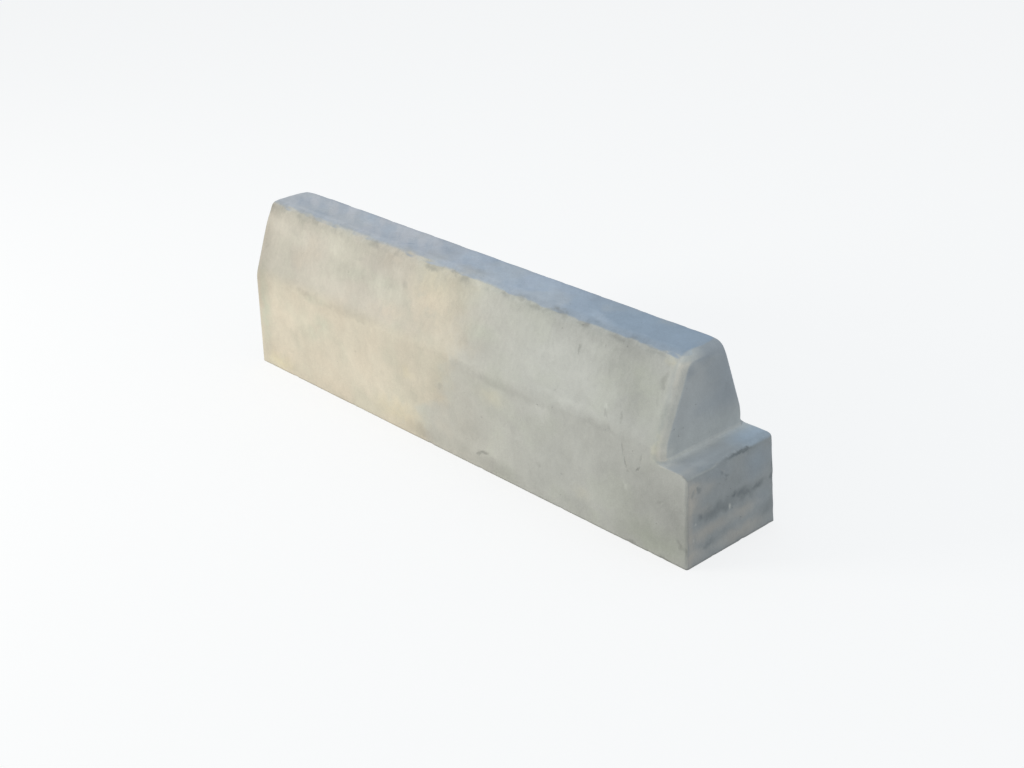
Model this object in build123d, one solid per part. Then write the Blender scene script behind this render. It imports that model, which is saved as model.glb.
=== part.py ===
from build123d import *
import math
import os

os.makedirs("parts", exist_ok=True)

# Precast concrete kerb stone, upright as it is laid: X along it, Y across it, Z up, in millimetres.
# The origin is on the bed, in the middle of the stone's overall length and width.

# The full-height stone, and the low tongue that stands out of its right end
body_length = 1000.0
tongue_length = 60.0

# Cross-section: a drafted foot up to the knee, then a slope on each side up to the crown
base_width = 200.0
knee_width = 187.0
crown_width = 88.0
knee_height = 172.0
stone_height = 300.0
knee_radius = 72.0
crown_radius = 26.0

# Tongue: its height, the draft of its end face in degrees, its nose and the hollow at its root
tongue_height = 147.0
end_draft = 3.75
nose_radius = 12.0
root_radius = 7.0

# The shoulder over the tongue, the plain end's top edge, and the arrises of both ends
shoulder_radius = 20.0
plain_end_radius = 12.0
arris_radius = 4.0

overall_length = body_length + tongue_length
plain_end = -overall_length / 2
tongue_end = overall_length / 2
shoulder_end = plain_end + body_length
lean = math.radians(end_draft)
end_face = Plane((tongue_end, 0, 0), x_dir=(0, 1, 0), z_dir=(math.cos(lean), 0, math.sin(lean)))


def cross_section():
    """The symmetric outline of the stone, seen along its length."""
    right = [(base_width / 2, 0), (knee_width / 2, knee_height), (crown_width / 2, stone_height)]
    left = [(-y, z) for y, z in reversed(right)]
    outline = make_face(Polyline(*right, *left, close=True))
    outline = fillet(outline.vertices().group_by(Axis.Y)[-1], crown_radius)
    return fillet(outline.vertices().group_by(Axis.Y)[1], knee_radius)


def bar(start, end):
    """The cross-section drawn out along X."""
    return extrude(Plane.YZ.offset(start) * cross_section(), end - start)


def wide_block(start, end, top):
    """A block on the bed, twice as wide as the stone, that the cross-section later trims."""
    block = Box(end - start, 2 * base_width, top, align=(Align.MIN, Align.CENTER, Align.MIN))
    return Pos(start, 0, 0) * block


def end_edges(solid, side):
    """The edges round an end face, all but the one on the bed: side 0 is left, -1 is right."""
    return solid.faces().sort_by(Axis.X)[side].edges().sort_by(Axis.Z)[1:]


def top_edge(block, side):
    """The edge across the top of a block's end: side 0 is left, -1 is right."""
    return block.faces().sort_by(Axis.Z)[-1].edges().sort_by(Axis.X)[side]


def blank():
    """The whole length at full height, with its end draft and worn arrises."""
    solid = split(bar(plain_end, tongue_end), end_face, keep=Keep.BOTTOM)
    solid = fillet(end_edges(solid, 0) + end_edges(solid, -1), arris_radius)
    rounded = wide_block(plain_end, tongue_end, stone_height)
    return solid & fillet(top_edge(rounded, 0), plain_end_radius)


def step():
    """The shoulder on its tongue: a rounded upper stone on a wide lower one, hollow at the root."""
    lower = wide_block(plain_end - 2 * base_width, tongue_end, tongue_height)
    lower = split(lower, end_face, keep=Keep.BOTTOM)
    lower = fillet(top_edge(lower, -1), nose_radius)
    upper = bar(plain_end - base_width, shoulder_end)
    upper = fillet(end_edges(upper, 0) + end_edges(upper, -1), shoulder_radius)
    solid = lower + upper
    ledge = solid.faces().filter_by(Axis.Z).sort_by(Axis.Z)[1]
    return fillet(ledge.inner_wires()[0].edges(), root_radius)


kerb_stone = step() & blank()
export_step(kerb_stone, "parts/kerb_stone.step")
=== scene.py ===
import math
import bpy
from mathutils import Euler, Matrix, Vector, noise

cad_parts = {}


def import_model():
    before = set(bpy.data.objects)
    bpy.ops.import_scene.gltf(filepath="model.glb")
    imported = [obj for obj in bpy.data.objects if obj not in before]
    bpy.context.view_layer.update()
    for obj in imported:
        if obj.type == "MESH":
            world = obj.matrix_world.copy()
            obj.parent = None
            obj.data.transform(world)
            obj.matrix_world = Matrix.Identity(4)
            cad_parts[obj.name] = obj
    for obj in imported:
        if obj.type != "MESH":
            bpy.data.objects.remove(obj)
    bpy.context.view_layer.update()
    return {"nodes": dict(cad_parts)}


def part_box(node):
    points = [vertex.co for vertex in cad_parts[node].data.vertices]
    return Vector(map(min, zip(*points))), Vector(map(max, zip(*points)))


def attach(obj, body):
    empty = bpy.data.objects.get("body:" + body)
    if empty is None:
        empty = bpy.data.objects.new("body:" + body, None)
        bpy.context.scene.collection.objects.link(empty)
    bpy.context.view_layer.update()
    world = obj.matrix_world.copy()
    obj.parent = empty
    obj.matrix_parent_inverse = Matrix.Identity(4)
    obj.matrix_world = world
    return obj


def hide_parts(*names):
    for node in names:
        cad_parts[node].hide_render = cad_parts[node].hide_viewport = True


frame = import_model()

# Camera, fitted to the outline in the photograph: place and farthest sight in metres, turn in
# degrees, lens and sensor in millimetres
CAMERA_PLACE = (1.7134, -1.5006, 1.1685)
CAMERA_TURN = (60.150, 1.667, 47.012)
LENS = 52.73
SENSOR = 36
SHIFT_UP = 0.1138
SIGHT = 200

# Soft lamps: name, place and target in metres, width in metres, power in watts, colour
LAMPS = [
    ("key", (-1.9, -2.5, 0.75), (-0.1, 0, 0.15), 1.4, 66, (1.0, 0.93, 0.80)),
    ("overhead", (-0.3, 0.3, 3.2), (0, 0, 0.2), 2.4, 9, (0.75, 0.90, 1.0)),
    ("end fill", (3.2, 0.8, 0.9), (0.5, 0, 0.15), 1.2, 7, (0.90, 0.96, 1.0)),
]

# The sky: its colour and strength as a light, and its colour where it is seen
SKY_COLOUR = (0.86, 0.94, 1.0, 1)
SKY_STRENGTH = 0.62
SKY_SEEN = (1, 1, 1, 1)

# The floor: how far it runs each way in metres, its colour where it is seen, the strength of its
# glow and the share of it, and its colour to the light
FLOOR_REACH = 40
FLOOR_SEEN = (0.9, 0.9, 0.9, 1)
FLOOR_GLOW = 1.05
GLOW_SHARE = 0.72
FLOOR_BOUNCE = (0.42, 0.42, 0.42, 1)

# Levels on the stone, in metres
LOWEST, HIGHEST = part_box("kerb_stone")
LEFT_END = LOWEST[0]
RIGHT_END = HIGHEST[0]
CROWN = HIGHEST[2]
TONGUE_LENGTH = 0.060
SHOULDER = RIGHT_END - TONGUE_LENGTH
TONGUE_TOP = 0.147
KNEE = 0.172

# The even mesh: how finely the length is split, as halvings and as the share of them filled
MESH_HALVINGS = 9
MESH_SHARE = 0.60

# The wear, in metres: how deep it goes, how large its lumps are, coarse and fine, and how high
# above the bed the chips reach
SWELL_DEPTH = 0.0004
SWELL_COARSE = 0.075
SWELL_FINE = 0.022
ARRIS_DEPTH = 0.0016
ARRIS_COARSE = 0.030
ARRIS_FINE = 0.011
CHIP_DEPTH = 0.0008
CHIP_SIZE = 0.016
CHIP_REACH = 0.009

# The upward part of the skin's direction in the middle of the long top edges, and its spread
ARRIS_FACING = 0.82
ARRIS_SPREAD = 0.16

# The corners that are worn rounder: place and depth in metres
CORNER_REACH = 0.036
CORNERS = [
    (LEFT_END, 0.040, CROWN, 0.0040),
    (LEFT_END, -0.054, CROWN - 0.012, 0.0040),
    (SHOULDER, 0.040, CROWN, 0.0045),
    (RIGHT_END, -0.096, TONGUE_TOP, 0.0045),
]

# Linear colours of the concrete, some of them painted light and shade
# Painted light on the front: warm sunlight on its left part (beige) and shade on its right part (grey)
BEIGE = (0.640, 0.590, 0.496, 1)
GREY = (0.516, 0.520, 0.492, 1)
# Painted shade on the left part of the slope above the knee
SHADED_SLOPE = (0.540, 0.512, 0.462, 1)
# Painted cool sky light on the top, darker and bluer to the right as painted shade
TOP_LEFT = (0.590, 0.592, 0.625, 1)
TOP_MIDDLE = (0.475, 0.530, 0.615, 1)
TOP_RIGHT = (0.355, 0.425, 0.510, 1)
TOP_PALE = (0.520, 0.580, 0.660, 1)
TOP_SHADE = (0.330, 0.380, 0.450, 1)
SEAT = (0.490, 0.510, 0.520, 1)
# Painted sky light, bluer towards the back of the tongue's seat
SEAT_BLUE = (0.495, 0.566, 0.640, 1)
SEAT_DARK = (0.420, 0.440, 0.455, 1)
END_GREY = (0.530, 0.540, 0.535, 1)
END_SHADE = (0.430, 0.455, 0.475, 1)
END_LOW = (0.550, 0.560, 0.545, 1)
END_BEIGE = (0.580, 0.535, 0.475, 1)
END_BLUE = (0.390, 0.430, 0.465, 1)
# Painted shade on the rounded top edge of the right end
END_RIM = (0.350, 0.378, 0.412, 1)
TONGUE_GREY = (0.425, 0.435, 0.430, 1)
PEACH = (0.690, 0.590, 0.480, 1)
GREENISH = (0.520, 0.550, 0.460, 1)
YELLOWISH = (0.680, 0.620, 0.430, 1)
# Pale: painted highlights on the rounded edges, in the hollow and near the tongue's root, and worn
# arrises and specks
PALE = (0.720, 0.705, 0.650, 1)
# Warm painted highlight on the upright rounded edges
WARM_PALE = (0.760, 0.710, 0.620, 1)
BROWNISH = (0.440, 0.420, 0.380, 1)
DIRT = (0.250, 0.250, 0.235, 1)
# Damp stains on the tongue's end, also used for painted shade over its nose
DAMP_AND_SHADE = (0.240, 0.256, 0.260, 1)
DUST = (0.600, 0.590, 0.555, 1)

# Gloss: how much the concrete reflects, and its roughness, with what cloudiness and dirt add to it
SHEEN = 0.18
ROUGHNESS = 0.76
CLOUD_ROUGHNESS = 0.16
DIRT_ROUGHNESS = 0.06

# How positions are pushed about: waves to the metre, and reach in metres
ROUGH_PUSH = (45, 0.026)
FINE_PUSH = (160, 0.006)

# The noise: the size of its lumps in metres
BROAD_SIZE = 0.110
HUE_SIZE = 0.085
CLOUD_SIZE = 0.034
STREAK_SIZE = 0.024
SMEAR_SIZE = 0.013
DRIP_SIZE = 0.009
FLECK_SIZE = 0.006
SAND_SIZE = 0.0016

# How far each noise swings the lightness, and how much a hole darkens it
BROAD_SWING = 0.20
CLOUD_SWING = 0.22
SMEAR_SWING = 0.13
DRIP_SWING = 0.18
FLECK_SWING = 0.14
SAND_SWING = 0.22
HOLE_SHADE = 0.14

# The relief, in metres
CLOUD_HEIGHT = 0.0010
SMEAR_HEIGHT = 0.0004
FLECK_HEIGHT = 0.0003
SAND_HEIGHT = 0.00012
HOLE_DEPTH = 0.0007
DENT_DEPTH = 0.0012

# Pinholes: cells to the metre, a hole's edge from outside in, in cells, and the part of the
# cells' random numbers over which they come to have a hole
HOLE_CELLS = 55
HOLE_EDGE = (0.085, 0.030)
HOLE_CHANCE = (0.62, 0.75)

# How far a mark reaches into the stone, in metres: right through, so it never fades
MARK_DEPTH = 10

# Marks: place in mm along and up the face, half-length and half-height in mm, turn in degrees,
# strength
FRONT_DIRT = [
    (-12, 113, 12, 6, 15, 0.16),
    (-85, 73, 20, 12, 0, 0.10),
    (-53, 12, 20, 8, 15, 0.14),
    (-127, 250, 9, 12, 0, 0.20),
    (276, 255, 4, 11, 12, 0.40),
    (444, 258, 8, 19, -15, 0.30),
    (439, 232, 5, 12, 20, 0.18),
    (357, 188, 4, 13, 20, 0.26),
    (385, 190, 3, 11, 0, 0.30),
    (364, 171, 7, 5, 0, 0.22),
    (474, 91, 11, 4, 20, 0.24),
    (223, 58, 7, 8, 40, 0.18),
    (162, 94, 12, 12, 0, 0.10),
    (514, 35, 17, 6, -20, 0.34),
    (420, 2, 16, 5, 0, 0.40),
    (490, 2, 15, 5, 0, 0.40),
    (-440, 266, 16, 10, 0, 0.10),
    (-248, 263, 16, 5, 10, 0.12),
]
GOUGE = [
    (84, 26.0, 12, 4.0, 32, 0.38),
    (97, 31.5, 13, 4.8, 8, 0.56),
]
CRACKS = [
    (396, 149, 14, 2.4, -78, 0.30),
    (403, 128, 13, 2.6, -68, 0.34),
    (409, 116, 5, 3.0, 0, 0.22),
    (428, 126, 9, 2.8, 50, 0.46),
    (433, 146, 10, 2.4, 86, 0.24),
]
ARRIS_DIRT = [
    (214, 293, 26, 5, 0, 0.50),
    (97, 293, 12, 5, 0, 0.30),
    (134, 293, 14, 5, 0, 0.30),
    (-26, 292, 13, 5, 0, 0.28),
    (275, 292, 15, 5, 0, 0.22),
    (425, 291, 22, 5, 0, 0.26),
    (160, 291, 22, 5, 0, 0.22),
    (340, 290, 60, 7, 0, 0.24),
    (-75, 288, 26, 6, 0, 0.26),
    (8, 288, 40, 10, 0, 0.16),
    (110, 290, 28, 7, 0, 0.16),
    (-210, 289, 46, 9, 0, 0.16),
    (-420, 288, 34, 8, 0, 0.16),
    (-524, 288, 10, 12, 0, 0.34),
]
# Lighter marks on the front: tone, and painted light on the band above the knee and on the shoulder's
# rounded upright edge
LIGHTER = [
    (260, 214, 170, 44, 0, 0.09),
    (-310, 206, 80, 40, 0, 0.06),
    (300, 182, 150, 10, 0, 0.08),
    (462, 172, 20, 30, 0, 0.14),
    (465, 235, 18, 80, 0, 0.10),
    (474, 160, 10, 12, 0, 0.08),
    (-230, 60, 130, 60, 8, 0.10),
    (-120, 50, 80, 56, 0, 0.10),
    (-330, 256, 50, 34, 20, 0.05),
    (-430, 116, 90, 30, 0, 0.08),
    (-150, 262, 20, 40, 30, 0.09),
    (-186, 226, 14, 42, 22, 0.06),
    (-136, 236, 12, 32, 16, 0.05),
    (404, 92, 4, 14, 0, 0.16),
    (354, 197, 5, 8, 30, 0.18),
    (220, 150, 34, 30, 0, 0.10),
    (225, 244, 80, 26, 0, 0.08),
    (-260, 102, 34, 32, 0, 0.09),
    (462, 60, 40, 36, 0, 0.06),
    (462, 280, 26, 26, 0, 0.10),
]
# Darker marks on the front: tone, and painted shade along the left end's edge and in a line under the
# knee
DARKER = [
    (-530, 190, 56, 200, 0, 0.20),
    (-505, 286, 44, 22, 0, 0.12),
    (-500, 40, 44, 60, 0, 0.12),
    (-410, 177, 180, 28, 0, 0.10),
    (-380, 174, 30, 9, 0, 0.06),
    (-200, 174, 60, 14, 0, 0.08),
    (-400, 288, 220, 22, 0, 0.14),
    (-440, 220, 120, 50, 0, 0.12),
    (-370, 250, 60, 30, 0, 0.08),
    (-140, 250, 50, 26, 0, 0.10),
    (-270, 235, 120, 40, 0, 0.07),
    (-220, 276, 100, 26, 0, 0.12),
    (480, 64, 140, 110, 0, 0.24),
    (130, 12, 80, 30, 0, 0.12),
    (-60, 10, 60, 24, 0, 0.08),
    (-10, 282, 60, 26, 0, 0.09),
    (14, 244, 60, 60, 0, 0.10),
    (-20, 110, 44, 64, 0, 0.09),
    (50, 16, 190, 26, 0, 0.08),
    (70, 60, 60, 26, 0, 0.12),
    (-440, 18, 50, 22, 0, 0.10),
    (-80, 20, 40, 20, 0, 0.10),
    (310, 18, 60, 26, 0, 0.08),
    (370, 100, 56, 32, 0, 0.07),
    (405, 210, 44, 44, 0, 0.10),
    (345, 250, 34, 24, 0, 0.08),
    (-150, 286, 76, 24, 0, 0.09),
    (370, 276, 80, 28, 0, 0.08),
    (-505, 160, 40, 60, 0, 0.12),
    (-380, 172, 40, 12, 0, 0.08),
    (80, 206, 60, 30, 0, 0.07),
    (395, 255, 90, 60, 0, 0.12),
    (150, 160, 220, 10, 0, 0.10),
    (340, 166, 120, 8, 0, 0.06),
    (-250, 172, 90, 12, 3, 0.07),
    (-300, 170, 95, 10, 1, 0.03),
    (440, 24, 110, 40, 0, 0.08),
    (290, 287, 210, 24, 0, 0.13),
    (160, 290, 60, 18, 0, 0.08),
    (40, 205, 34, 30, 0, 0.10),
    (60, 168, 200, 8, 0, 0.06),
]
BROWN_PATCHES = [
    (-262, 178, 60, 16, 4, 0.30),
    (-204, 258, 56, 26, 14, 0.42),
    (-465, 190, 60, 50, 0, 0.26),
    (-440, 268, 50, 22, 0, 0.24),
]
GREEN_PATCHES = [
    (-225, 240, 130, 20, 3, 0.30),
    (-330, 128, 46, 30, 20, 0.45),
    (-352, 104, 36, 16, 0, 0.30),
    (-350, 168, 60, 11, 6, 0.30),
    (70, 226, 60, 24, 0, 0.40),
    (-508, 110, 24, 110, 0, 0.60),
    (400, 240, 90, 50, 0, 0.30),
    (470, 22, 80, 40, 0, 0.45),
    (330, 12, 60, 26, 0, 0.30),
]
PEACH_PATCHES = [
    (-60, 236, 80, 56, 0, 0.50),
    (-150, 202, 60, 24, 0, 0.35),
    (-130, 34, 90, 40, 0, 0.30),
    (-460, 36, 80, 30, 0, 0.30),
    (-300, 20, 90, 20, 0, 0.25),
    (-450, 110, 50, 26, 0, 0.12),
]
YELLOW_PATCHES = [
    (-128, 30, 85, 36, 0, 0.40),
    (-470, 16, 70, 26, 0, 0.50),
    (112, 136, 50, 22, 0, 0.22),
    (461, 172, 18, 30, 0, 0.40),
    (446, 286, 16, 12, 0, 0.45),
    (315, 42, 30, 20, 0, 0.14),
    (-100, 112, 30, 20, 0, 0.25),
    (-60, 262, 80, 44, 0, 0.22),
]
END_DIRT = [
    (-44, 72, 44, 16, 4, 0.50),
    (-71, 74, 10, 7, 0, 0.60),
    (-8, 66, 26, 9, -12, 0.45),
    (6, 82, 10, 9, -30, 0.75),
    (22, 78, 16, 12, -30, 0.40),
    (38, 68, 16, 7, -30, 0.60),
    (60, 74, 24, 9, 16, 0.60),
    (10, 76, 110, 17, 0, 0.45),
    (-12, 29, 34, 9, -12, 0.20),
    (-50, 24, 26, 10, 0, 0.55),
    (82, 31, 26, 16, 8, 0.42),
    (-82, 115, 8, 6, 0, 0.45),
    (-70, 117, 9, 7, 0, 0.60),
    (-22, 126, 7, 5, -40, 0.60),
    (-11, 121, 8, 4, -35, 0.60),
    (-12, 114, 4, 6, 0, 0.45),
    (96, 102, 6, 16, 0, 0.75),
    (95, 80, 7, 12, 0, 0.75),
    (50, 138, 30, 9, 0, 0.16),
    (16, 100, 22, 14, 0, 0.14),
    (34, 57, 40, 10, 0, 0.14),
]
NOSE_DIRT = [
    (14, 142.2, 46, 3.4, 0, 0.80),
    (32, 142.0, 20, 4.4, 0, 0.70),
    (-36, 143.0, 30, 3.4, 0, 0.20),
    (76, 143.0, 22, 3.4, 0, 0.20),
]
END_SPECKS = [
    (-3, 66, 4, 7, 0, 0.80),
    (-79, 66, 4, 4, 0, 0.50),
    (-84, 42, 4, 5, 0, 0.40),
]
END_WARM = [
    (-86, 104, 30, 36, 0, 0.85),
    (-80, 126, 26, 12, 0, 0.60),
    (-70, 46, 44, 20, 0, 0.65),
    (-90, 14, 50, 24, 0, 0.60),
    (-30, 48, 44, 16, 0, 0.55),
    (20, 14, 90, 20, 0, 0.70),
    (30, 48, 50, 16, 0, 0.60),
    (-92, 60, 12, 100, 0, 0.60),
    (-76, 116, 5, 5, 0, 0.80),
    (-20, 131, 11, 3, -35, 0.60),
    (-52, 116, 28, 18, 0, 0.40),
    (-60, 82, 26, 12, 0, 0.35),
    (-88, 140, 18, 12, 0, 0.55),
]
END_COOL = [
    (60, 116, 50, 40, 0, 0.75),
    (-30, 130, 50, 22, 0, 0.40),
    (70, 52, 40, 24, 0, 0.30),
]
UPPER_DARK = [
    (-40, 272, 22, 14, 0, 0.75),
    (-4, 288, 26, 18, 0, 0.90),
    (-76, 212, 16, 30, 0, 0.60),
    (-88, 182, 16, 28, 0, 0.55),
    (10, 262, 26, 26, 0, 0.45),
    (28, 258, 12, 14, 0, 0.30),
    (52, 215, 22, 24, -60, 0.50),
    (30, 236, 30, 9, 0, 0.55),
    (-12, 206, 26, 16, 0, 0.34),
]
# Painted highlight in the hollow at the tongue's root
HOLLOW_HIGHLIGHT = [
    (473, 152, 13, 11, 0, 0.52),
]
# Painted highlight at the foot of the shoulder's upright rounded edge
FOOT_HIGHLIGHT = [
    (468, 160, 18, 18, 0, 0.60),
]
TOP_LIGHT = [
    (60, -8, 70, 22, -30, 0.50),
    (130, 10, 60, 24, -30, 0.45),
    (284, -24, 46, 14, -20, 0.60),
    (-48, 8, 26, 30, -40, 0.40),
    (-320, 18, 60, 24, -30, 0.50),
    (-240, 0, 50, 24, -30, 0.30),
]
TOP_BROWN = [
    (0, -28, 50, 20, 0, 0.50),
    (-80, -24, 44, 18, 0, 0.32),
    (-150, -34, 50, 10, 0, 0.25),
]
TOP_DARK = [
    (-90, 14, 44, 30, -40, 0.40),
    (-165, -18, 12, 6, 20, 0.55),
    (-152, -30, 22, 8, -20, 0.30),
    (6, 22, 26, 18, -40, 0.30),
    (-470, -10, 60, 20, -20, 0.36),
    (-430, -4, 30, 16, -30, 0.20),
    (-400, -26, 50, 12, 0, 0.36),
    (285, 22, 34, 18, -40, 0.32),
    (-90, 0, 40, 24, -40, 0.14),
    (230, 24, 60, 18, -30, 0.25),
    (190, -30, 20, 8, -30, 0.35),
]


def camera():
    """The camera at the photograph's viewing angle."""
    data = bpy.data.cameras.new("camera")
    data.lens = LENS
    data.sensor_width = SENSOR
    data.shift_y = SHIFT_UP
    data.clip_end = SIGHT
    rig = bpy.data.objects.new("camera", data)
    rig.location = CAMERA_PLACE
    rig.rotation_euler = Euler([math.radians(angle) for angle in CAMERA_TURN], "XYZ")
    bpy.context.scene.collection.objects.link(rig)
    bpy.context.scene.camera = rig


def soft_lamp(name, place, target, size, power, colour):
    """A round soft lamp at a place, facing a target."""
    data = bpy.data.lights.new(name, "AREA")
    data.shape = "DISK"
    data.size = size
    data.energy = power
    data.color = colour
    lamp = bpy.data.objects.new(name, data)
    lamp.location = place
    lamp.rotation_euler = (Vector(target) - Vector(place)).to_track_quat("-Z", "Y").to_euler()
    bpy.context.scene.collection.objects.link(lamp)


def background_rays(tree):
    """1 for the rays that show the background: the camera's own, reflected ones and ones let through."""
    path = tree.nodes.new("ShaderNodeLightPath")
    share = path.outputs["Is Camera Ray"]
    for ray in ("Is Glossy Ray", "Is Transmission Ray"):
        either = tree.nodes.new("ShaderNodeMath")
        either.operation = "MAXIMUM"
        tree.links.new(share, either.inputs[0])
        tree.links.new(path.outputs[ray], either.inputs[1])
        share = either.outputs[0]
    return share


def world():
    """Cool, even light from all round, and plain white where it is seen."""
    sky = bpy.data.worlds.new("studio")
    sky.use_nodes = True
    tree = sky.node_tree
    tree.nodes.clear()
    light = tree.nodes.new("ShaderNodeBackground")
    light.inputs["Color"].default_value = SKY_COLOUR
    light.inputs["Strength"].default_value = SKY_STRENGTH
    white = tree.nodes.new("ShaderNodeBackground")
    white.inputs["Color"].default_value = SKY_SEEN
    white.inputs["Strength"].default_value = 1.0
    mix = tree.nodes.new("ShaderNodeMixShader")
    out = tree.nodes.new("ShaderNodeOutputWorld")
    tree.links.new(background_rays(tree), mix.inputs[0])
    tree.links.new(light.outputs[0], mix.inputs[1])
    tree.links.new(white.outputs[0], mix.inputs[2])
    tree.links.new(mix.outputs[0], out.inputs["Surface"])
    bpy.context.scene.world = sky


def floor():
    """A plain floor: near white where it is seen, but for the stone's shadow, and grey to the light."""
    corners = [(FLOOR_REACH * x, FLOOR_REACH * y, 0) for x, y in ((-1, -1), (1, -1), (1, 1), (-1, 1))]
    mesh = bpy.data.meshes.new("floor")
    mesh.from_pydata(corners, [], [(0, 1, 2, 3)])
    ground = bpy.data.objects.new("floor", mesh)
    bpy.context.scene.collection.objects.link(ground)
    finish = bpy.data.materials.new("floor")
    finish.use_nodes = True
    tree = finish.node_tree
    tree.nodes.clear()
    seen = tree.nodes.new("ShaderNodeBsdfDiffuse")
    seen.inputs["Color"].default_value = FLOOR_SEEN
    glow = tree.nodes.new("ShaderNodeEmission")
    glow.inputs["Strength"].default_value = FLOOR_GLOW
    bounce = tree.nodes.new("ShaderNodeBsdfDiffuse")
    bounce.inputs["Color"].default_value = FLOOR_BOUNCE
    pale = tree.nodes.new("ShaderNodeMixShader")
    pale.inputs[0].default_value = GLOW_SHARE
    mix = tree.nodes.new("ShaderNodeMixShader")
    out = tree.nodes.new("ShaderNodeOutputMaterial")
    tree.links.new(seen.outputs[0], pale.inputs[1])
    tree.links.new(glow.outputs[0], pale.inputs[2])
    tree.links.new(background_rays(tree), mix.inputs[0])
    tree.links.new(bounce.outputs[0], mix.inputs[1])
    tree.links.new(pale.outputs[0], mix.inputs[2])
    tree.links.new(mix.outputs[0], out.inputs["Surface"])
    mesh.materials.append(finish)


def lump(point, size, shift):
    """Smooth noise from -1 to 1, with lumps about size metres across."""
    return noise.noise(Vector(point) / size + Vector((shift, shift, shift)))


def wear(point, normal):
    """How far the skin lies inside the plain shape at a point, in metres."""
    swell = 0.5 + 0.5 * lump(point, SWELL_COARSE, 3) + 0.25 * lump(point, SWELL_FINE, 9)
    depth = SWELL_DEPTH * max(0.0, swell)
    on_arris = max(0.0, 1 - abs(normal.z - ARRIS_FACING) / ARRIS_SPREAD)
    ragged = max(0.0, lump(point, ARRIS_COARSE, 14) + 0.6 * lump(point, ARRIS_FINE, 21) + 0.1)
    depth += ARRIS_DEPTH * on_arris * ragged
    near_bed = max(0.0, 1 - point.z / CHIP_REACH)
    chip = max(0.0, lump(point, CHIP_SIZE, 31) - 0.18) * 2.5
    depth += CHIP_DEPTH * near_bed * min(chip, 1.0)
    for x, y, z, corner_depth in CORNERS:
        nearness = max(0.0, 1 - (point - Vector((x, y, z))).length / CORNER_REACH)
        depth += corner_depth * nearness ** 2
    return depth


def worn_stone(source):
    """The stone's skin as an even mesh, pressed in here and there as cast concrete is."""
    stone = bpy.data.objects.new("stone", source.data.copy())
    bpy.context.scene.collection.objects.link(stone)
    even = stone.modifiers.new("even", "REMESH")
    even.mode = "SHARP"
    even.octree_depth = MESH_HALVINGS
    even.scale = MESH_SHARE
    even.use_remove_disconnected = False
    drawn = stone.evaluated_get(bpy.context.evaluated_depsgraph_get())
    mesh = bpy.data.meshes.new_from_object(drawn)
    stone.modifiers.remove(even)
    stone.data = mesh
    moved = [vertex.co - vertex.normal * wear(vertex.co, vertex.normal) for vertex in mesh.vertices]
    for vertex, place in zip(mesh.vertices, moved):
        vertex.co = [min(max(place[i], LOWEST[i]), HIGHEST[i]) for i in range(3)]
    mesh.shade_smooth()
    mesh.materials.clear()
    return stone


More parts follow.
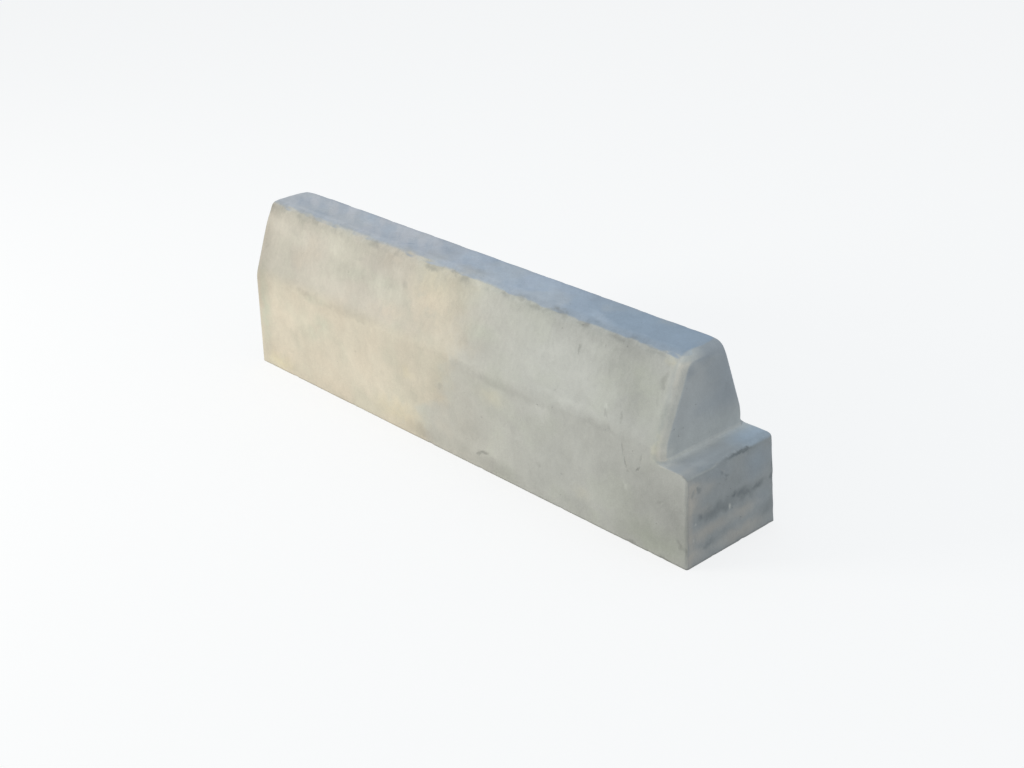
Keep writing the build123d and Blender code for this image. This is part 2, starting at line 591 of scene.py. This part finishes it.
class Graph:
    """The node tree of one material, with a short call for each kind of node it uses."""

    def __init__(self, name):
        self.material = bpy.data.materials.new(name)
        self.material.use_nodes = True
        self.tree = self.material.node_tree
        self.tree.nodes.clear()

    def add(self, kind, **settings):
        """A new node, with its settings."""
        node = self.tree.nodes.new("ShaderNode" + kind)
        for setting, value in settings.items():
            setattr(node, setting, value)
        return node

    def feed(self, socket, value):
        """Links an output to a socket, or sets the socket to a plain value."""
        if isinstance(value, bpy.types.NodeSocket):
            self.tree.links.new(value, socket)
        else:
            socket.default_value = value

    def number(self, operation, *values):
        """One step of arithmetic."""
        node = self.add("Math", operation=operation)
        for socket, value in zip(node.inputs, values):
            self.feed(socket, value)
        return node.outputs[0]

    def fade(self, value, start, end):
        """0 before start, 1 past end, and smooth between them, so it needs no clamp."""
        node = self.add("MapRange", interpolation_type="SMOOTHSTEP", clamp=False)
        self.feed(node.inputs["Value"], value)
        node.inputs["From Min"].default_value = start
        node.inputs["From Max"].default_value = end
        return node.outputs["Result"]

    def blend(self, share, first, second, mode="MIX"):
        """Two colours mixed by a share."""
        node = self.add("Mix", data_type="RGBA", blend_type=mode)
        self.feed(node.inputs[0], share)
        self.feed(node.inputs[6], first)
        self.feed(node.inputs[7], second)
        return node.outputs[2]

    def fitted(self, place, where, size, angle):
        """Positions as measured from a spot, in its own size and turn."""
        mapping = self.add("Mapping", vector_type="TEXTURE")
        self.feed(mapping.inputs["Vector"], place)
        mapping.inputs["Location"].default_value = where
        mapping.inputs["Rotation"].default_value = angle
        mapping.inputs["Scale"].default_value = size
        return mapping.outputs[0]

    def noise(self, place, size, detail=3.0, roughness=0.5, stretch=(1, 1, 1), turn=0, shift=0):
        """Noise from about 0 to 1, with lumps about size metres across."""
        sizes = [size * amount for amount in stretch]
        fitted = self.fitted(place, (shift, -shift, shift), sizes, (0, 0, math.radians(turn)))
        node = self.add("TexNoise")
        self.feed(node.inputs["Vector"], fitted)
        node.inputs["Scale"].default_value = 1
        node.inputs["Detail"].default_value = detail
        node.inputs["Roughness"].default_value = roughness
        return node.outputs["Fac"]

    def shaken(self, place, scale, reach):
        """Positions moved about by noise, by up to half of reach metres."""
        wander = self.add("TexNoise")
        self.feed(wander.inputs["Vector"], place)
        wander.inputs["Scale"].default_value = scale
        wander.inputs["Detail"].default_value = 4
        wander.inputs["Roughness"].default_value = 0.6
        step = self.add("VectorMath", operation="MULTIPLY_ADD")
        self.feed(step.inputs[0], wander.outputs["Color"])
        step.inputs[1].default_value = (reach, reach, reach)
        step.inputs[2].default_value = (-reach / 2, -reach / 2, -reach / 2)
        moved = self.add("VectorMath", operation="ADD")
        self.feed(moved.inputs[0], place)
        self.feed(moved.inputs[1], step.outputs[0])
        return moved.outputs[0]

    def marks(self, place, face, marks, edge=1.0):
        """The sum of oval marks on a face. An edge under 1 is the soft part of their half-width."""
        total = None
        for *mark, strength in marks:
            fitted = self.fitted(place, *on_face(face, *mark))
            oval = self.add("TexGradient", gradient_type="SPHERICAL")
            self.feed(oval.inputs["Vector"], fitted)
            part = self.number("MULTIPLY", self.fade(oval.outputs["Fac"], 0.0, edge), strength)
            total = part if total is None else self.number("ADD", total, part)
        return total


def on_face(face, along, up, half_length, half_height, turn):
    """Where a mark goes, its size and its turn, on the front, on the top or on an end."""
    angle = math.radians(turn)
    along, up = along / 1000, up / 1000
    length, height = half_length / 1000, half_height / 1000
    if face == "top":
        return (along, up, 0), (length, height, MARK_DEPTH), (0, 0, angle)
    if face == "front":
        return (along, 0, up), (length, MARK_DEPTH, height), (0, -angle, 0)
    return (0, along, up), (MARK_DEPTH, length, height), (angle, 0, 0)


class Concrete(Graph):
    """Cast concrete: beige and grey, as painted sunlight and painted shade on the front, painted cool sky
    light on top, with stains, pinholes and sandy grain.

    A fade of x, y or z runs from one place to another, in metres. A fade of across, toward or
    upward runs between two values of the skin's direction, which is 1 where it faces +X, +Y or up.
    """

    def __init__(self):
        super().__init__("concrete")
        source = self.add("TexCoord")
        self.place = source.outputs["Object"]
        self.x, self.y, self.z = self.parts(self.place)
        self.across, self.toward, self.upward = self.parts(source.outputs["Normal"])
        self.shared_noise()
        self.faces()

    def parts(self, vector):
        """The three parts of a vector."""
        split = self.add("SeparateXYZ")
        self.feed(split.inputs[0], vector)
        return split.outputs

    def times(self, *values):
        """The product of two or more values."""
        product = values[0]
        for value in values[1:]:
            product = self.number("MULTIPLY", product, value)
        return product

    def total(self, *values):
        """The sum of two or more values."""
        result = values[0]
        for value in values[1:]:
            result = self.number("ADD", result, value)
        return result

    def swing(self, value, reach):
        """Noise from 0 to 1 turned into a swing of reach, half of it each way."""
        return self.number("MULTIPLY_ADD", value, reach, -reach / 2)

    def shared_noise(self):
        """Positions pushed about, so that no mark has a clean edge, and noise at several scales."""
        self.rough_place = self.shaken(self.place, *ROUGH_PUSH)
        self.fine_place = self.shaken(self.place, *FINE_PUSH)
        self.broad = self.noise(self.rough_place, BROAD_SIZE, 3, 0.5, shift=0.31)
        self.hue = self.noise(self.rough_place, HUE_SIZE, 2, 0.5, shift=0.77)
        self.cloud = self.noise(self.rough_place, CLOUD_SIZE, 4, 0.55, shift=0.12)
        self.smear = self.noise(self.place, SMEAR_SIZE, 4, 0.6, (1.1, 1.4, 1.7), shift=0.64)
        self.fleck = self.noise(self.place, FLECK_SIZE, 3, 0.65, shift=0.53)
        self.sand = self.noise(self.place, SAND_SIZE, 2, 0.6, shift=0.95)

    def faces(self):
        """Masks for the front, the two ends, the tongue and the top."""
        self.front = self.fade(self.toward, -0.10, -0.45)
        behind = self.times(self.number("MAXIMUM", self.toward, 0.0), 0.6)
        over = self.times(self.number("MAXIMUM", self.upward, 0.0), self.fade(self.y, -0.042, -0.014))
        turned = self.total(self.across, behind, self.times(over, 0.55))
        self.end = self.fade(self.total(turned, self.swing(self.cloud, 0.06)), 0.84, 0.95)
        self.far_end = self.fade(self.total(self.across, behind), -0.12, -0.55)
        self.low = self.fade(self.z, TONGUE_TOP + 0.009, TONGUE_TOP + 0.002)
        self.tongue = self.times(self.low, self.fade(self.x, SHOULDER - 0.006, SHOULDER + 0.012))
        self.nose = self.times(self.tongue, self.fade(self.upward, 0.48, 0.74))
        # the ragged border of the top, where its painted cool sky light meets the front
        wobble = self.total(self.swing(self.cloud, 0.18), self.swing(self.fleck, 0.08))
        wobble = self.total(wobble, self.swing(self.broad, 0.12), self.upward)
        middle = self.times(self.fade(self.x, -0.260, -0.150), self.fade(self.x, 0.130, 0.040))
        wobble = self.total(wobble, self.times(middle, -0.05))
        soft = self.fade(wobble, 0.72, 0.93)
        crisp = self.fade(wobble, 0.70, 0.84)
        right = self.fade(self.x, -0.250, -0.020)
        self.top = self.total(self.times(soft, self.number("SUBTRACT", 1.0, right)),
                              self.times(crisp, right))

    def sides(self):
        """Painted warm sunlight (beige) to the left of a ragged border and painted shade (grey) to its
        right, with soft patches of tint.
        """
        z = self.z
        border = self.total(self.times(self.fade(z, 0.055, 0.100), 0.060),
                            self.times(self.fade(z, 0.150, 0.210), 0.030))
        past = self.number("SUBTRACT", self.x, border)
        past = self.total(past, self.number("MULTIPLY_ADD", self.cloud, 0.090, 0.016))
        spread = self.number("MULTIPLY_ADD", self.fade(z, 0.150, 0.200), -0.55, 1.0)
        shaded_share = self.fade(self.times(past, spread), -0.022, 0.026)
        sunlit_side = self.number("MULTIPLY_ADD", self.fade(self.x, 0.250, -0.020), -0.30, 1.0)
        # painted sunlight to the left of the border, painted shade to its right
        colour = self.blend(self.times(shaded_share, sunlit_side), BEIGE, GREY)
        # painted shade on the left part of the slope above the knee
        slope_shade = self.times(self.fade(z, 0.168, 0.195), self.fade(self.x, 0.020, -0.200))
        colour = self.blend(self.times(slope_shade, 0.75), colour, SHADED_SLOPE)
        colour = self.blend(self.times(self.fade(self.hue, 0.48, 0.66), 0.20), colour, GREENISH)
        pink = self.times(self.fade(self.hue, 0.50, 0.34), self.fade(self.x, 0.100, -0.060), 0.16)
        colour = self.blend(pink, colour, PEACH)
        broken = self.fade(self.cloud, 0.30, 0.55)
        for patches, tint in ((BROWN_PATCHES, BROWNISH), (GREEN_PATCHES, GREENISH),
                              (YELLOW_PATCHES, YELLOWISH), (PEACH_PATCHES, PEACH)):
            share = self.times(self.marks(self.rough_place, "front", patches), self.front)
            colour = self.blend(self.times(share, broken), colour, tint)
        return colour

    def crown(self):
        """The top, cooler in painted sky light, bluer and darker to the right as painted shade, streaked
        aslant and with painted shade on its rounded front edge, and the tongue's seat.
        """
        x, y = self.x, self.y
        # painted cool sky light on the top, darker and bluer to the right as painted shade
        colour = self.blend(self.fade(x, -0.200, 0.060), TOP_LEFT, TOP_MIDDLE)
        colour = self.blend(self.fade(x, 0.120, 0.340), colour, TOP_RIGHT)
        streak = self.noise(self.place, STREAK_SIZE, 3, 0.55, (4.0, 0.8, 1.0), -42, 0.4)
        colour = self.blend(self.times(self.fade(streak, 0.42, 0.62), 0.30), colour, TOP_RIGHT)
        colour = self.blend(self.times(self.fade(self.hue, 0.50, 0.66), 0.25), colour, DUST)
        near = self.times(self.fade(y, 0.010, -0.035), self.fade(x, 0.0, -0.200), 0.26)
        colour = self.blend(near, colour, TOP_SHADE)
        # painted shade on the top's rounded front edge, and a darker rounded back edge
        back = self.fade(self.toward, 0.16, 0.50)
        rounding = self.times(self.total(self.fade(self.toward, -0.08, -0.50), back), 0.50)
        colour = self.blend(rounding, colour, TOP_SHADE)
        for marks, tint in ((TOP_LIGHT, TOP_PALE), (TOP_DARK, TOP_SHADE), (TOP_BROWN, BROWNISH)):
            colour = self.blend(self.marks(self.rough_place, "top", marks), colour, tint)
        # painted sky light, bluer towards the back of the seat
        seat = self.blend(self.fade(y, 0.010, 0.060), SEAT, SEAT_BLUE)
        seat = self.blend(self.fade(y, -0.040, -0.065), seat, SEAT_DARK)
        corner = self.times(self.fade(y, -0.056, -0.082), self.fade(x, 0.494, 0.514))
        seat = self.blend(self.times(corner, 0.35), seat, END_BEIGE)
        # painted light near the tongue's root, lifting the shade of the hollow there
        seat = self.blend(self.times(self.fade(x, 0.500, 0.474), 0.26), seat, PALE)
        return self.blend(self.fade(self.z, KNEE + 0.03, KNEE), colour, seat)

    def ends(self):
        """Cool grey, darker to the far side, with painted shade on the rounded top edge, and darker still
        on the tongue.
        """
        far_side = self.total(self.y, self.swing(self.cloud, 0.060))
        colour = self.blend(self.fade(far_side, -0.030, 0.045), END_GREY, END_SHADE)
        colour = self.blend(self.fade(self.z, 0.215, 0.165), colour, END_LOW)
        colour = self.blend(self.marks(self.rough_place, "end", UPPER_DARK), colour, END_SHADE)
        # painted shade on the upward-turned rounding at the top of the right end, towards the back
        rounding = self.times(self.fade(self.upward, 0.04, 0.40), self.fade(self.y, -0.040, -0.012))
        rounding = self.times(rounding, self.fade(self.x, 0.0, 0.200), 0.62)
        colour = self.blend(rounding, colour, END_RIM)
        colour = self.blend(self.tongue, colour, TONGUE_GREY)
        for marks, tint in ((END_WARM, END_BEIGE), (END_COOL, END_BLUE)):
            share = self.times(self.marks(self.rough_place, "end", marks), self.tongue)
            colour = self.blend(share, colour, tint)
        return colour

    def painted_edge_light(self, colour):
        """Painted highlights where rounded edges catch the light: in the hollow at the tongue's root,
        along the shoulder's edges and down the tongue's front edge.
        """
        hollow = self.marks(self.fine_place, "front", HOLLOW_HIGHLIGHT)
        hollow = self.times(hollow, self.fade(self.upward, 0.06, 0.30))
        foot = self.marks(self.fine_place, "front", FOOT_HIGHLIGHT)
        foot = self.times(foot, self.fade(self.y, -0.058, -0.082))
        upright = self.times(self.fade(self.across, 0.34, 0.68), self.fade(self.across, 0.975, 0.895))
        upright = self.times(upright, self.front, self.fade(self.upward, 0.60, 0.30))
        upright = self.times(upright, self.number("MULTIPLY_ADD", self.cloud, 1.2, 0.0))
        level = self.times(self.fade(self.across, 0.15, 0.50), self.fade(self.across, 0.985, 0.90))
        level = self.times(level, self.fade(self.z, 0.240, 0.270), self.fade(self.upward, 0.10, 0.40))
        near = self.number("MULTIPLY_ADD", self.fade(self.y, 0.006, -0.028), 0.52, 0.06)
        level = self.times(level, near)
        edge = self.times(self.total(upright, level), self.number("SUBTRACT", 1.0, self.nose))
        warm = self.number("DIVIDE", upright, self.number("ADD", upright, 0.05))
        highlight = self.blend(warm, PALE, WARM_PALE)
        return self.blend(self.total(hollow, foot, edge), colour, highlight)

    def dirt(self):
        """Dark stains on the front, along the top border, on the tongue's end and on its nose."""
        arris = self.times(self.fade(self.upward, 0.36, 0.62), self.fade(self.top, 0.9, 0.3))
        self.pale_bits = self.times(arris, self.fade(self.cloud, 0.46, 0.36))
        stains = self.total(self.marks(self.rough_place, "front", FRONT_DIRT, 0.7),
                            self.marks(self.rough_place, "front", ARRIS_DIRT))
        self.dents = self.times(self.marks(self.fine_place, "front", GOUGE + CRACKS, 0.8), self.front)
        bits = self.times(arris, self.fade(self.cloud, 0.48, 0.62), self.fade(self.across, 0.5, 0.2))
        return self.total(self.times(stains, self.front), self.dents, self.times(bits, 0.30))

    def damp_and_nose_shade(self):
        """Dark bands across the tongue's end and a ragged dark line along its nose, with painted shade
        over the rounding of the nose.
        """
        bands = self.times(self.marks(self.rough_place, "end", END_DIRT), self.end, self.low)
        bands = self.times(bands, self.fade(self.cloud, 0.22, 0.46))
        line = self.times(self.marks(self.fine_place, "end", NOSE_DIRT), self.tongue)
        line = self.times(line, self.fade(self.x, 0.510, 0.516))
        # painted shade on the upward-turned nose and the seat's last millimetres
        nose_shade = self.times(self.tongue, self.fade(self.upward, 0.08, 0.40), self.fade(self.x, 0.500, 0.514))
        return self.total(bands, line, self.times(nose_shade, 0.26))

    def pinholes(self):
        """Small holes left by air bubbles, one in a few of the cells."""
        cells = self.add("TexVoronoi", feature="F1")
        self.feed(cells.inputs["Vector"], self.fine_place)
        cells.inputs["Scale"].default_value = HOLE_CELLS
        chance = self.parts(cells.outputs["Color"])[0]
        hole = self.fade(cells.outputs["Distance"], *HOLE_EDGE)
        return self.times(hole, self.fade(chance, *HOLE_CHANCE))

    def tone(self, hole):
        """Cloudiness, flecks, grain and the lighter and darker marks, some of them painted light and
        shade, in the lightness, about 1.
        """
        tone = self.total(self.swing(self.broad, BROAD_SWING), self.swing(self.cloud, CLOUD_SWING))
        tone = self.total(tone, self.swing(self.smear, SMEAR_SWING), self.swing(self.fleck, FLECK_SWING))
        tone = self.total(tone, self.swing(self.sand, SAND_SWING))
        drip = self.noise(self.rough_place, DRIP_SIZE, 3, 0.6, (0.7, 1.0, 5.0), shift=0.22)
        high = self.times(self.front, self.fade(self.z, 0.180, 0.240))
        tone = self.total(tone, self.times(self.swing(drip, DRIP_SWING), high))
        # lighter and darker marks: tone, partly painted light and shade
        tone_and_painted_light = self.number("SUBTRACT", self.marks(self.rough_place, "front", LIGHTER),
                             self.marks(self.rough_place, "front", DARKER))
        tone = self.total(tone, self.times(tone_and_painted_light, self.front), 1.0)
        return self.times(tone, self.number("MULTIPLY_ADD", hole, -HOLE_SHADE, 1.0))

    def relief(self, hole):
        """The height of the grain, the lumps, the holes and the dents, in metres."""
        height = self.total(self.times(self.cloud, CLOUD_HEIGHT), self.times(self.smear, SMEAR_HEIGHT))
        fine = self.times(self.fleck, FLECK_HEIGHT)
        height = self.total(height, fine, self.times(self.sand, SAND_HEIGHT))
        return self.total(height, self.times(hole, -HOLE_DEPTH), self.times(self.dents, -DENT_DEPTH))

    def finish(self):
        """Joins the colour, the roughness and the relief, and returns the material."""
        crown = self.crown()
        colour = self.blend(self.top, self.sides(), crown)
        both_ends = self.number("ADD", self.end, self.far_end)
        colour = self.blend(both_ends, colour, self.ends())
        # painted highlights on the rounded edges and in the hollow
        colour = self.painted_edge_light(self.blend(self.nose, colour, crown))
        dirt = self.dirt()
        colour = self.blend(self.times(self.pale_bits, 0.24), colour, PALE)
        colour = self.blend(dirt, colour, DIRT)
        colour = self.blend(self.damp_and_nose_shade(), colour, DAMP_AND_SHADE)
        specks = self.times(self.marks(self.fine_place, "end", END_SPECKS), self.end, self.low)
        colour = self.blend(specks, colour, PALE)
        hole = self.pinholes()
        colour = self.blend(1.0, colour, self.tone(hole), "MULTIPLY")
        bump = self.add("Bump")
        bump.inputs["Strength"].default_value = 1.0
        bump.inputs["Distance"].default_value = 1.0
        self.feed(bump.inputs["Height"], self.relief(hole))
        shader = self.add("BsdfPrincipled")
        self.feed(shader.inputs["Base Color"], colour)
        self.feed(shader.inputs["Normal"], bump.outputs[0])
        roughness = self.number("MULTIPLY_ADD", self.cloud, CLOUD_ROUGHNESS, ROUGHNESS)
        self.feed(shader.inputs["Roughness"], self.total(roughness, self.times(dirt, DIRT_ROUGHNESS)))
        shader.inputs["Specular IOR Level"].default_value = SHEEN
        out = self.add("OutputMaterial")
        self.feed(out.inputs["Surface"], shader.outputs[0])
        return self.material


camera()
world()
floor()
for lamp in LAMPS:
    soft_lamp(*lamp)

stone = worn_stone(frame["nodes"]["kerb_stone"])
stone.data.materials.append(Concrete().finish())
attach(stone, "root")
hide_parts("kerb_stone")

bpy.context.scene.view_settings.view_transform = "Standard"
